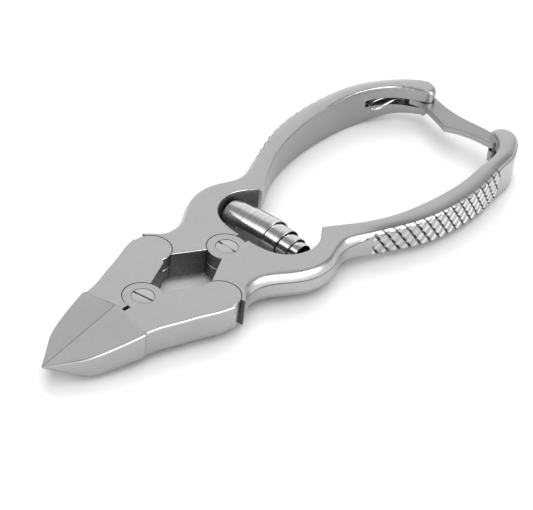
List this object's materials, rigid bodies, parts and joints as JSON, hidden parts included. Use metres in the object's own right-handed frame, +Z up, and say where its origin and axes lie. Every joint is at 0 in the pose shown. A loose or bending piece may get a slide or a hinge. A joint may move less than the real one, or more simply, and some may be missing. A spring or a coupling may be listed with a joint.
{
  "type": "nail clipper",
  "caption": "Compound-action nail nipper: curved pointed blades on a four-pivot linkage, bowed knurled handles, barrel spring and swing latch.",
  "frame": {"origin": "middle of the closed and latched tool's bounding box, on its underside", "axes": "+Y along the tool from the blades to the handle ends, +Z up through the flat side, +X towards the right handle"},
  "size_m": [0.0534, 0.1508, 0.011],
  "materials": {
    "handle_steel": "satin stainless steel, glass-bead matt with a fine brushed grain, knurled outer face",
    "jaw_steel": "satin stainless steel with ground blade faces",
    "screw_steel": "satin stainless steel, slotted head",
    "pin_steel": "ground stainless steel",
    "spring_steel": "bright rolled stainless strip",
    "latch_steel": "satin stainless sheet",
    "wire_steel": "bright spring wire"
  },
  "bodies": {
    "left_handle": {"left_handle": "handle_steel", "left_side_pin": "pin_steel", "left_spring_stud": "pin_steel", "barrel_spring": "spring_steel", "latch_pivot_pin": "pin_steel", "latch_spring": "wire_steel"},
    "right_handle": {"right_handle": "handle_steel", "right_side_pin": "pin_steel", "right_spring_stud": "pin_steel", "latch_catch_pin": "pin_steel", "handle_pivot_screw": "screw_steel"},
    "left_jaw": {"left_jaw": "jaw_steel"},
    "right_jaw": {"right_jaw": "jaw_steel", "jaw_pivot_screw": "screw_steel"},
    "latch": {"latch": "latch_steel"}
  },
  "joints": [
    {"name": "handle_hinge", "type": "hinge", "parent": "left_handle", "child": "right_handle", "pos_m": [0, -0.0164, 0.0055], "axis": [0, 0, -1], "range_deg": [0, 20], "deforming": ["barrel_spring"]},
    {"name": "left_jaw_hinge", "type": "hinge", "parent": "left_handle", "child": "left_jaw", "pos_m": [-0.0112, -0.0304, 0.0055], "axis": [0, 0, -1], "range_deg": [0, 20]},
    {"name": "right_jaw_hinge", "type": "hinge", "parent": "right_handle", "child": "right_jaw", "pos_m": [0.0112, -0.0304, 0.0055], "axis": [0, 0, -1], "range_deg": [-20, 0]},
    {"name": "latch_hinge", "type": "hinge", "parent": "left_handle", "child": "latch", "pos_m": [-0.0132, 0.0702, 0.0055], "axis": [0, 0, 1], "range_deg": [0, 90]}
  ],
  "couplings": [
    {"joint": "left_jaw_hinge", "follows": "handle_hinge", "ratio": 1},
    {"joint": "right_jaw_hinge", "follows": "handle_hinge", "ratio": -1}
  ]
}
